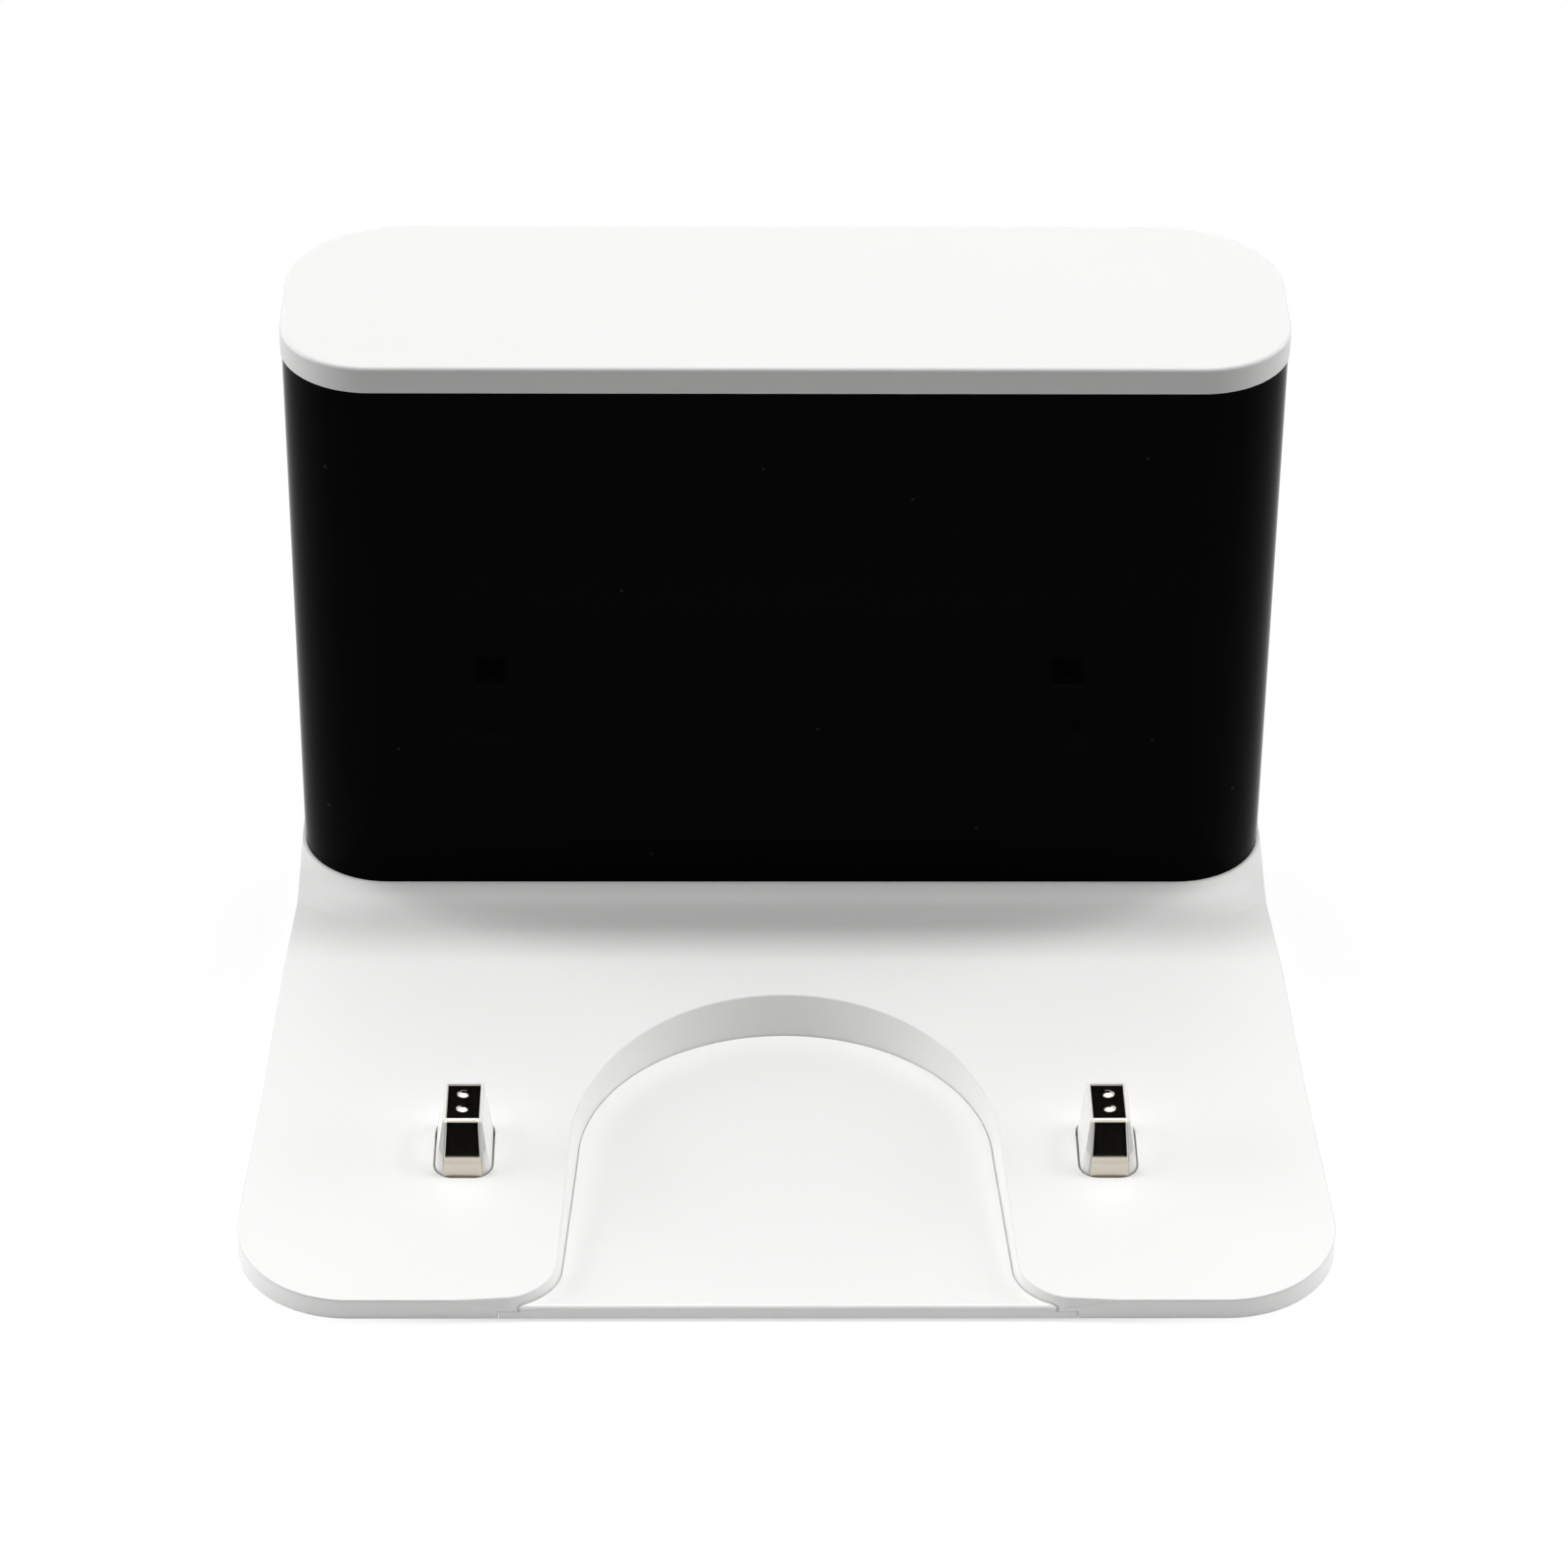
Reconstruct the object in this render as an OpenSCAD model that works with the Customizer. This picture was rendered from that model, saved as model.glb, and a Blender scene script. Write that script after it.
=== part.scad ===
// Robot vacuum charging dock: a shallow ramp with a horseshoe recess and two sprung charging
// contacts, and a tower with an infrared window in front and an open lead bay behind.
// X runs to the right, Y to the back and Z up, with the origin under the middle of the dock.

/* [Overall] */
// Greatest width, across the two front legs
dock_w = 151; // [148:0.5:156]
// Depth, from the front of the legs to the back of the tower
dock_d = 130; // [128:0.5:134]
// Height, from the floor to the top of the cap
dock_h = 98; // [95:0.5:104]
// Height of the mouldings above the floor, which the rubber feet make
foot_proud = 0.3; // [0.2:0.05:0.5]

/* [Base moulding] */
// Wall of the base moulding
base_wall = 1.3; // [1.1:0.1:1.5]
// Height of the legs at their front face
leg_h = 3.4; // [3.2:0.1:3.8]
// Plan radius of the outer front corners of the legs
leg_corner_r = 16; // [12:0.5:20]
// Distance from the front of the legs to the foot of the ramp
leg_flat_d = 45; // [42:0.5:48]
// Height of the moulding at the foot of the ramp
ramp_foot_h = 5.4; // [5:0.1:5.6]
// Distance from the ledge at the top of the ramp to the tower
ledge_d = 18; // [15:0.5:20]
// Height of the ledge at the top of the ramp
ledge_h = 8.7; // [8.2:0.1:9.2]
// Radius that blends the ramp into the leg and the ledge
ramp_blend_r = 60; // [30:5:80]
// Radius of the concave sweep that runs up to the tower
sweep_r = 12; // [8:0.5:16]

/* [Horseshoe recess] */
// Radius of the arch, at the floor of the recess
arch_r = 29.2; // [27:0.2:30]
// Distance from the front of the legs to the centre of the arch
arch_centre_d = 32.7; // [31:0.1:34]
// Draft of the recess wall
recess_draft = 21; // [10:1:24]
// Angle by which each side of the recess opens towards the front
recess_flare = 3.7; // [0:0.1:5]
// Plan radius of the inner tips of the legs
tip_r = 8.5; // [6:0.5:10]
// Height of the floor of the recess
recess_floor_h = 2.3; // [2:0.1:2.6]
// Radius of the front edge of the floor of the recess
recess_lip_r = 0.7; // [0.4:0.1:0.7]

/* [Bottom cover] */
// Thickness of the bottom cover
cover_t = 1.2; // [1:0.1:1.4]
// Gap between the edge of the cover and the moulding round it
cover_gap = 0.15; // [0.1:0.05:0.25]
// Radius of each rubber foot
pad_r = 5.5; // [4:0.5:7]
// Depth of the pocket that each rubber foot sits in
pad_pocket = 0.7; // [0.4:0.05:0.8]

/* [Tower] */
// Width of the tower
tower_w = 142.2; // [138:0.2:144]
// Depth of the tower
tower_d = 41.9; // [40:0.1:44]
// Plan radius of the front corners of the tower
tower_front_r = 13; // [10:0.5:16]
// Plan radius of the back corners of the tower
tower_back_r = 17; // [14:0.5:18]
// Height of the foot that the tower stands on
tower_foot_h = 11.1; // [10.9:0.1:12]
// Width of the ledge that the foot leaves round the tower
foot_ledge = 0.4; // [0.2:0.05:0.6]
// Thickness of the front panel
panel_t = 2.2; // [1.8:0.1:2.6]
// Distance that the front panel runs back round the sides
panel_side_d = 23; // [20:0.5:24]
// Wall of the rear shell
rear_t = 2; // [1.6:0.1:2.4]
// Thickness of the locating rim inside the panel and the rear shell
rim_t = 1.2; // [1:0.1:1.4]
// Height of the locating rim
rim_h = 2; // [1:0.1:3]
// Play between the locating rim and the shell round it
rim_play = 0.2; // [0.1:0.05:0.3]

/* [Top cap] */
// Height of the lip of the cap
cap_h = 4.2; // [3.6:0.1:5]
// Distance by which the cap overhangs the tower all round
cap_over = 0.2; // [0.1:0.05:0.4]
// Radius of the upper edge of the cap
cap_edge_r = 0.6; // [0.4:0.1:1]
// Chamfer of the lower edge of the cap
cap_chamfer = 0.3; // [0.2:0.05:0.4]
// Thickness of the top of the cap
cap_wall = 2; // [1.6:0.1:2.4]

/* [Charging contacts] */
// Distance between the centres of the two contacts
contact_pitch = 89.8; // [86:0.2:94]
// Distance from the front of the legs to the foot of each contact strip
contact_foot_d = 25.8; // [24:0.2:27]
// Width of the plunger at its root
carrier_w = 7.8; // [7.2:0.1:8.4]
// Depth of the plunger at its root, front to back
carrier_d = 12; // [11.4:0.1:12.6]
// Width of the plunger at its top
carrier_top_w = 5.6; // [5.4:0.1:6]
// Height of the top of the contact strip above the floor
contact_top_h = 12.4; // [12:0.1:13.5]
// Distance that each contact travels when it is pressed
press_travel = 1.5; // [1:0.1:1.6]
// Gap between the plunger and its slot
slot_gap = 0.3; // [0.25:0.05:0.4]
// Thickness of the contact strip
strip_t = 0.4; // [0.3:0.05:0.5]
// Width of the contact strip on top of the plunger
strip_w = 4.6; // [4:0.1:4.8]
// Width of the contact strip at its foot
strip_foot_w = 5.4; // [4.8:0.1:5.8]
// Lean of the front of the plunger, from upright
front_lean = 27; // [15:1:32]

/* [Lead bay and inlet] */
// Width of the bay that stores the lead
bay_w = 108; // [96:1:112]
// Depth of the bay
bay_d = 18; // [16:0.5:19]
// Height of the bay's floor above the foot of the tower
bay_floor_h = 3.4; // [3:0.1:5]
// Height of the bay
bay_h = 70; // [64:0.5:71]
// Width of the two cleats that the lead winds round
cleat_w = 34; // [28:1:44]
// Height of each cleat's stem
cleat_h = 9; // [8:0.5:10]
// Distance by which each cleat's flange stands out round its stem
cleat_over = 4; // [3:0.5:5]
// Distance from the middle of the tower to the inlet
inlet_x = 38; // [36:0.5:40]
// Distance between the two pins of the inlet
pin_pitch = 8.6; // [8.4:0.1:8.8]
// Diameter of each pin
pin_d = 2.4; // [2.3:0.05:2.4]
// Diameter of the insulated wires inside
wire_d = 1.3; // [1.1:0.1:1.4]

/* [Power and beacon] */
// Thickness of the circuit boards
board_t = 1.6; // [1:0.1:1.6]
// Width of the power board
board_w = 74; // [70:1:76]
// Height of the power board
board_h = 44; // [42:1:46]
// Diameter of the lenses of the infrared emitters
emitter_d = 5; // [4:0.5:5]

/* [Hidden] */
$fn = 96;
eps = 0.01;

front_y = -dock_d / 2;
back_y = dock_d / 2;
tower_y = back_y - tower_d;
floor_z = foot_proud;
cover_top = floor_z + cover_t;
ramp_foot_y = front_y + leg_flat_d;
ledge_y = tower_y - ledge_d;
arch_y = front_y + arch_centre_d;
foot_w = tower_w + 2 * foot_ledge;
cap_z = dock_h - cap_h;
panel_back_y = tower_y + panel_t;
rim_inset = panel_t + rim_play;
seam_y = tower_y + panel_side_d;
deck_z = ledge_h + 0.6;

WHITE = "#f4f4f3";
BLACK = "#08090b";
NICKEL = "#c9c6c0";
BRASS = "#c8a04a";
GREEN = "#1f5a38";
GREY = "#8c8f92";
RUBBER = "#3c3d3e";

function unit(v) = v / norm(v);
function rise(run, angle) = run * tan(angle);

// Points of an arc of radius r that rounds the corner b of the path a, b, c
function blend(a, b, c, r, steps = 8) =
    let (
        u = unit(a - b),
        v = unit(c - b),
        half = acos(u * v) / 2,
        reach = r / tan(half),
        centre = b + unit(u + v) * (r / sin(half)),
        from = b + u * reach - centre,
        to = b + v * reach - centre,
        start = atan2(from[1], from[0]),
        raw = atan2(to[1], to[0]) - start,
        sweep = raw > 180 ? raw - 360 : raw < -180 ? raw + 360 : raw
    )
    [for (i = [0 : steps]) centre + r * [cos(start + sweep * i / steps), sin(start + sweep * i / steps)]];

// Rectangle across X, from y0 to y1, with one radius on its front corners and one on its back
module rounded_plan(w, y0, y1, front_r, back_r) {
    for (side = [-1, 1]) {
        translate([side * (w / 2 - front_r), y0 + front_r]) circle(r = front_r);
        translate([side * (w / 2 - back_r), y1 - back_r]) circle(r = back_r);
    }
    translate([-w / 2 + front_r, y0]) square([w - 2 * front_r, front_r]);
    translate([-w / 2, y0 + front_r]) square([w, y1 - y0 - front_r - back_r]);
    translate([-w / 2 + back_r, y1 - back_r]) square([w - 2 * back_r, back_r]);
}

// Plan of the tower, drawn in by inset from its outer face
module tower_plan(inset = 0) {
    rounded_plan(tower_w - 2 * inset, tower_y + inset, back_y - inset,
                 tower_front_r - inset, tower_back_r - inset);
}

// Extrudes a profile drawn in depth and height across the width w
module across(w) {
    translate([-w / 2, 0, 0]) rotate([90, 0, 90]) linear_extrude(w) children();
}

// Copies a child to the left and the right of the dock
module both_sides() {
    for (side = [-1, 1]) scale([side, 1, 1]) children();
}

// Base moulding

leg_centre = [dock_w / 2 - leg_corner_r, front_y + leg_corner_r];
waist = [foot_w / 2, tower_y - 2];
// Direction from the centre of a leg's corner to where its side leaves the corner
side_normal =
    let (run = waist - leg_centre, turn = atan2(run[1], run[0]) - acos(leg_corner_r / norm(run)))
    [cos(turn), sin(turn)];

module base_plan(inset = 0) {
    root = leg_centre + (leg_corner_r - inset) * side_normal;
    slack = inset * (1 - side_normal[0]) / side_normal[1];
    neck = waist - inset * side_normal + slack * [-side_normal[1], side_normal[0]];
    front = [leg_centre[0], front_y + inset];
    polygon([front, root, neck, [-neck[0], neck[1]], [-root[0], root[1]], [-front[0], front[1]]]);
    for (side = [-1, 1])
        translate([side * leg_centre[0], leg_centre[1]]) circle(r = leg_corner_r - inset);
    rounded_plan(foot_w - 2 * inset, neck[1] - 1, back_y - inset, 1, tower_back_r - inset);
}

// Side profile of the ramp, lowered by drop
module ramp_profile(drop = 0) {
    toe = [front_y - 1, leg_h];
    foot = [ramp_foot_y, ramp_foot_h];
    brow = [ledge_y, ledge_h];
    heel = [back_y + 1, ledge_h];
    top = concat([toe], blend(toe, foot, brow, ramp_blend_r), blend(foot, brow, heel, ramp_blend_r), [heel]);
    polygon(concat([[front_y - 1, -1]], [for (p = top) p - [0, drop]], [[back_y + 1, -1]]));
}

sweep_end = 5;
sweep_base = ledge_h + sweep_r * cos(sweep_end);
sweep_run = sqrt(pow(sweep_r, 2) - pow(sweep_base - tower_foot_h, 2)) - sweep_r * sin(sweep_end);

// Section of the concave sweep: from the foot of the tower, down and out to the ledge
module sweep_profile(start) {
    difference() {
        square([start + sweep_run, tower_foot_h]);
        translate([start + sweep_run + sweep_r * sin(sweep_end), sweep_base]) circle(r = sweep_r, $fn = 180);
    }
}

// Foot of the tower, with the sweep along its front and round its corners
module tower_foot() {
    rim_r = tower_front_r + foot_ledge;
    corner_x = tower_w / 2 - tower_front_r;
    linear_extrude(tower_foot_h)
        rounded_plan(foot_w, tower_y - foot_ledge, back_y, rim_r, tower_back_r);
    translate([0, tower_y + tower_front_r, 0]) across(2 * corner_x)
        scale([-1, 1]) sweep_profile(rim_r);
    for (side = [-1, 1])
        translate([side * corner_x, tower_y + tower_front_r, 0]) rotate_extrude() sweep_profile(rim_r);
}

// The round parts of the recess overlap its straight sides by this much, so that they cross
round_over = 0.05;
side_reach = arch_r - round_over;
// Length of each straight side of the recess, and the centre of the round tip at its end
side_run = (arch_y + (side_reach + tip_r) * sin(recess_flare) - front_y - tip_r) / cos(recess_flare);
tip_centre = [(side_reach + tip_r) * cos(recess_flare) + side_run * sin(recess_flare), front_y + tip_r];
tip_fade = 4;

// Space of the recess between two heights: its wall leans out by the draft as it rises, and
// grow moves it out by more
module recess(z0, z1, grow = 0) {
    h = z1 - z0;
    low = grow + rise(z0 - recess_floor_h, recess_draft);
    high = grow + rise(z1 - recess_floor_h, recess_draft);
    inner = tip_centre - 20 * [cos(recess_flare), sin(recess_flare)];
    translate([0, arch_y, z0]) cylinder(h = h, r1 = arch_r + low, r2 = arch_r + high);
    both_sides() translate([0, arch_y, z0]) rotate(recess_flare) rotate([90, 0, 0])
        linear_extrude(side_run + tip_r + 2)
            polygon([[0, 0], [side_reach + low, 0], [side_reach + high, h], [0, h]]);
    translate([-side_reach / 4, front_y - 1, z0]) cube([side_reach / 2, arch_y + 6 - front_y, h]);
    difference() {
        translate([0, 0, z0]) linear_extrude(h)
            polygon([tip_centre, inner, [-inner[0], inner[1]], [-tip_centre[0], tip_centre[1]],
                     [-tip_centre[0], front_y - 1], [tip_centre[0], front_y - 1]]);
        both_sides() translate([tip_centre[0], tip_centre[1], z0 - 1])
            cylinder(h = h + 2, r1 = tip_r + round_over - low + rise(1, recess_draft),
                     r2 = tip_r + round_over - high - rise(1, recess_draft));
    }
}

// Lean of each tip, which fades out along the front of the leg
module tip_fade_cut() {
    lean = 6;
    both_sides() translate([tip_centre[0], front_y, recess_floor_h]) rotate(-tip_fade)
        translate([-2, 0, 0]) rotate([90, 0, 90]) linear_extrude(14)
            polygon([[-3, 0], [0, 0], [rise(lean, recess_draft), lean], [-3, lean]]);
}

post_x = contact_pitch / 2;
post_front_y = front_y + contact_foot_d;
post_y = post_front_y + carrier_d / 2;
slot_w = carrier_w + 2 * slot_gap;
slot_d = carrier_d + 2 * slot_gap;
slot_r = 2.8;

boss_xy = [[60, ledge_y + 4], [60, back_y - 31]];
boss_r = 3.2;
screw_r = 1.25;
pilot_r = 1.05;
screw_head_r = 2.3;
screw_head_t = 0.9;

tower_screw_xy = [62, back_y - 14.5];
tower_screw_l = 12;
tower_head_r = 2.4;
tower_head_t = 1.6;
access_r = 3;
lead_hole_xy = [24, tower_y + 15];
lead_hole_r = 2.5;

module slot_plan(w, d, r) {
    rounded_plan(w, post_y - d / 2, post_y + d / 2, r, r);
}

// Plan of the plate under each spring and its tab, grown all round
module terminal_plan(grow = 0) {
    translate([-terminal_w / 2 - grow, spring_y - terminal_w / 2 - grow])
        square([terminal_w + 2 * grow, terminal_w + 2 * grow]);
    translate([-tab_w / 2 - grow, spring_y]) square([tab_w + 2 * grow, tab_end_y - spring_y + grow]);
}

module base_shell() color(WHITE) {
    ceiling = ledge_h - base_wall;
    difference() {
        union() {
            difference() {
                intersection() {
                    linear_extrude(tower_foot_h) base_plan();
                    union() {
                        across(dock_w + 2) ramp_profile();
                        tower_foot();
                    }
                }
                translate([0, 0, -1]) linear_extrude(floor_z + 1) square(2 * dock_w, center = true);
                recess(cover_top - 0.3, tower_foot_h);
                tip_fade_cut();
                difference() {
                    translate([0, 0, floor_z - 1]) intersection() {
                        linear_extrude(tower_foot_h) base_plan(base_wall);
                        translate([0, 0, 1 - floor_z]) across(dock_w) ramp_profile(base_wall);
                    }
                    recess(cover_top, tower_foot_h, base_wall);
                }
                // Notch in the skirt for the tongue of the cover
                translate([-tip_centre[0], front_y - 1, -1])
                    cube([2 * tip_centre[0], tip_r + 1, cover_top + 1]);
                translate([0, 0, deck_z]) linear_extrude(tower_foot_h) tower_plan(rim_inset + rim_t);
                // Seats that the flanges of the plungers rest against
                both_sides() translate([post_x, 0, 0]) linear_extrude(root_z + flange_t + stop_gap)
                    slot_plan(pocket_w, pocket_d, slot_r + 1);
            }
            // Locating rim of the tower, open behind where the lead bay comes down
            translate([0, 0, tower_foot_h - eps]) linear_extrude(rim_h + eps) difference() {
                tower_plan(rim_inset);
                tower_plan(rim_inset + rim_t);
                translate([-tower_w, back_y - channel_d - rear_t - rim_play]) square([2 * tower_w, tower_d]);
            }
            both_sides() for (p = boss_xy)
                translate([p[0], p[1], cover_top]) cylinder(h = ceiling - cover_top + eps, r = boss_r);
        }
        both_sides() {
            for (p = boss_xy) translate([p[0], p[1], 0]) cylinder(h = ceiling, r = pilot_r);
            translate([post_x, 0, 0]) linear_extrude(ledge_h) slot_plan(slot_w, slot_d, slot_r);
            translate([tower_screw_xy[0], tower_screw_xy[1], 0])
                cylinder(h = ledge_h + 2, r = screw_r + 0.3);
            translate([lead_hole_xy[0], lead_hole_xy[1], 0]) cylinder(h = ledge_h + 2, r = lead_hole_r);
        }
    }
}

// Bottom cover and feet

pad_xy = [[60, front_y + 14], [46, back_y - 12]];
flange_w = slot_w + 2;
flange_d = slot_d + 1.6;
pocket_w = flange_w + 2 * slot_gap;
pocket_d = flange_d + 2 * slot_gap;
pocket_z = floor_z + 0.7;
spring_y = post_y - 0.2;
guide_r = 1.1;
guide_h = 2.4;
guide_root = 0.2;
terminal_t = 0.25;
terminal_w = 4.6;
terminal_play = 0.1;
tab_w = 2.4;
tab_end_y = post_y + pocket_d / 2 + 4;
groove_d = 6;
wire_r = wire_d / 2;
// Gap between two things that rest against each other
touch = 0.05;

// Depth and height of the floor of the recess, with its front edge rounded
module recess_floor_profile() {
    lip = [front_y, recess_floor_h];
    polygon(concat([[front_y, 0]], blend([front_y, 0], lip, [0, recess_floor_h], recess_lip_r),
                   [[back_y, recess_floor_h], [back_y, 0]]));
}

module bottom_cover() color(WHITE) {
    tongue = tip_centre[0] - cover_gap;
    difference() {
        union() {
            translate([0, 0, floor_z]) linear_extrude(cover_t) base_plan(base_wall + cover_gap);
            translate([-tongue, front_y, floor_z]) cube([2 * tongue, tip_r, cover_t]);
            intersection() {
                recess(cover_top - 0.5, recess_floor_h + 0.5, -cover_gap);
                across(2 * tongue - 2) recess_floor_profile();
            }
        }
        both_sides() {
            for (p = pad_xy) translate([p[0], p[1], -1])
                cylinder(h = floor_z + pad_pocket + 1, r = pad_r + 0.1);
            for (p = boss_xy) translate([p[0], p[1], -1]) {
                cylinder(h = cover_top + 2, r = screw_r + 0.15);
                cylinder(h = floor_z + screw_head_t * 0.7 + 1, r = screw_head_r + 0.2);
            }
            translate([tower_screw_xy[0], tower_screw_xy[1], -1]) cylinder(h = cover_top + 2, r = access_r);
            translate([post_x, 0, pocket_z]) linear_extrude(cover_t)
                slot_plan(pocket_w, pocket_d, slot_r + 1);
            translate([post_x, 0, pocket_z - terminal_t]) linear_extrude(cover_t)
                terminal_plan(terminal_play);
            // Groove that the lead leaves through
            translate([post_x - tab_w / 2 - terminal_play, tab_end_y - 1, pocket_z])
                cube([tab_w + 2 * terminal_play, groove_d + 1, cover_t]);
        }
    }
    // Pins that keep the springs in place
    both_sides() translate([post_x, spring_y, pocket_z - terminal_t - guide_root])
        cylinder(h = guide_root + terminal_t + guide_h, r = guide_r);
}

module rubber_feet() color(RUBBER) both_sides() for (p = pad_xy)
    translate([p[0], p[1], 0]) cylinder(h = floor_z + pad_pocket, r = pad_r);

cross_w = 0.5;
cross_d = 0.5;

// Pan head screw that points up, with its seat at the origin and a cross in its head
module screw(length, head_r = screw_head_r, head_t = screw_head_t) {
    translate([0, 0, -head_t]) difference() {
        cylinder(h = head_t, r = head_r);
        for (turn = [0, 90]) rotate(turn)
            translate([-head_r * 0.6, -cross_w / 2, -eps]) cube([head_r * 1.2, cross_w, cross_d]);
    }
    cylinder(h = length, r = screw_r - 0.2);
}

module cover_screws() color(GREY) both_sides() for (p = boss_xy)
    translate([p[0], p[1], floor_z + screw_head_t * 0.7]) screw(ledge_h - base_wall - cover_top - 1);

// Tower

module front_panel() color(BLACK) {
    translate([0, 0, tower_foot_h]) linear_extrude(cap_z - tower_foot_h) difference() {
        tower_plan();
        tower_plan(panel_t);
        translate([-tower_w, seam_y]) square([2 * tower_w, tower_d]);
    }
}

bay_z = tower_foot_h + bay_floor_h;
bay_y = back_y - bay_d;
bay_back_y = bay_y - rear_t;
channel_h = 9;
channel_d = 10;
inlet_z = bay_z + 24;
inlet_w = 20;
inlet_h = 12;
inlet_play = 0.1;
tower_boss_r = 3.6;
tower_boss_h = 16;

// Cleat: a stem that stands out of the bay with a wider flange at its end
module cleat(z) {
    flange_t = 2;
    stem_r = 2.5;
    edge_r = 3;
    reach = bay_d - flange_t;
    flange_w = cleat_w + 2 * cleat_over;
    half_h = cleat_h / 2 + cleat_over;
    translate([0, bay_y - eps, z]) rotate([-90, 0, 0]) linear_extrude(reach)
        rounded_plan(cleat_w, -cleat_h / 2, cleat_h / 2, stem_r, stem_r);
    translate([0, bay_y + reach - flange_t, z]) rotate([-90, 0, 0]) linear_extrude(flange_t)
        rounded_plan(flange_w, -half_h, half_h, edge_r, edge_r);
}

cleat_z = [bay_z + 14, bay_z + bay_h - 14];
board_boss_x = board_w / 2 - 4;
board_x = -16;
board_z = tower_foot_h + 3;
board_boss_h = 3.2;
board_boss_r = 3;
board_hole_r = 1.5;
board_y = bay_back_y - board_boss_h - board_t;
board_boss_z = [board_z + 4, board_z + board_h - 4];
beacon_w = 70;
beacon_h = 16;
beacon_z = cap_z - 12 - beacon_h;
beacon_y = tower_y + 13;
beacon_boss_x = beacon_w / 2 - 4;
harness_gap = 0.2;
harness_reach = 6;

module rear_shell() color(WHITE) {
    difference() {
        union() {
            translate([0, 0, tower_foot_h]) linear_extrude(cap_z - tower_foot_h) difference() {
                tower_plan();
                tower_plan(rear_t);
                translate([-tower_w, seam_y - tower_w]) square([2 * tower_w, tower_w]);
            }
            intersection() {
                translate([0, 0, tower_foot_h]) linear_extrude(cap_z - tower_foot_h) tower_plan(rear_t / 2);
                union() {
                    translate([-bay_w / 2 - rear_t, bay_back_y, bay_z - rear_t])
                        cube([bay_w + 2 * rear_t, bay_d + rear_t, bay_h + 2 * rear_t]);
                    translate([-tower_w / 2, back_y - channel_d - rear_t, bay_z - rear_t])
                        cube([tower_w, channel_d + rear_t, channel_h + 2 * rear_t]);
                }
            }
            both_sides() translate([tower_screw_xy[0], tower_screw_xy[1], deck_z]) {
                cylinder(h = tower_boss_h, r = tower_boss_r);
                // Rib from the boss to the side wall, above the locating rim
                translate([0, -0.8, tower_foot_h + rim_h + rim_play - deck_z])
                    cube([tower_w / 2 - rear_t / 2 - tower_screw_xy[0], 1.6,
                          deck_z + tower_boss_h - tower_foot_h - rim_h - rim_play]);
            }
            for (x = [-board_boss_x, board_boss_x], z = board_boss_z)
                translate([board_x + x, bay_back_y + eps, z]) rotate([90, 0, 0])
                    cylinder(h = board_boss_h + eps, r = board_boss_r);
            for (x = [-beacon_boss_x, beacon_boss_x])
                translate([x, bay_back_y + eps, beacon_z + beacon_h / 2]) rotate([90, 0, 0])
                    cylinder(h = bay_back_y - beacon_y - board_t + eps, r = board_boss_r);
        }
        translate([-bay_w / 2, bay_y, bay_z]) cube([bay_w, bay_d + 1, bay_h]);
        translate([-tower_w, back_y - channel_d, bay_z]) cube([2 * tower_w, channel_d + 1, channel_h]);
        both_sides() translate([tower_screw_xy[0], tower_screw_xy[1], deck_z - 1])
            cylinder(h = tower_boss_h - 2, r = pilot_r);
        for (x = [-board_boss_x, board_boss_x], z = board_boss_z)
            translate([board_x + x, bay_back_y + eps, z]) rotate([90, 0, 0]) cylinder(h = 4, r = pilot_r);
        for (x = [-beacon_boss_x, beacon_boss_x])
            translate([x, beacon_y + board_t + 6, beacon_z + beacon_h / 2]) rotate([90, 0, 0])
                cylinder(h = 7, r = pilot_r);
        translate([inlet_x - inlet_w / 2 - inlet_play, bay_back_y - 1, inlet_z - inlet_h / 2 - inlet_play])
            cube([inlet_w + 2 * inlet_play, rear_t + 2, inlet_h + 2 * inlet_play]);
    }
    for (z = cleat_z) cleat(z);
}

module tower_screws() color(GREY) both_sides()
    translate([tower_screw_xy[0], tower_screw_xy[1], ledge_h - base_wall])
        screw(tower_screw_l, tower_head_r, tower_head_t);

// Section through an edge of the cap: reach wide and h high, with its upper corner rounded and
// its lower one chamfered
module edge_section(reach, h, edge_r) {
    polygon([[0, 0], [reach - cap_chamfer, 0], [reach, cap_chamfer], [reach, h - edge_r], [0, h - edge_r]]);
    square([reach - edge_r, h]);
    translate([reach - edge_r, h - edge_r]) circle(r = edge_r, $fn = 32);
}

// Slab with the plan of the tower and a rounded upper edge
module cap_slab(w, y0, y1, front_r, back_r, h, edge_r) {
    across(w - 2 * back_r) translate([y0 + front_r, 0]) square([y1 - y0 - front_r - back_r, h]);
    across(w - 2 * front_r) translate([y0 + front_r, 0]) scale([-1, 1]) edge_section(front_r, h, edge_r);
    across(w - 2 * back_r) translate([y1 - back_r, 0]) edge_section(back_r, h, edge_r);
    for (side = [-1, 1]) scale([side, 1, 1]) {
        translate([w / 2 - back_r, y1 - back_r, 0]) rotate([90, 0, 0])
            linear_extrude(y1 - y0 - front_r - back_r) edge_section(back_r, h, edge_r);
        translate([w / 2 - front_r, y0 + front_r, 0])
            rotate_extrude(angle = 90, start = -90) edge_section(front_r, h, edge_r);
        translate([w / 2 - back_r, y1 - back_r, 0])
            rotate_extrude(angle = 90, start = 0) edge_section(back_r, h, edge_r);
    }
}

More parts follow.
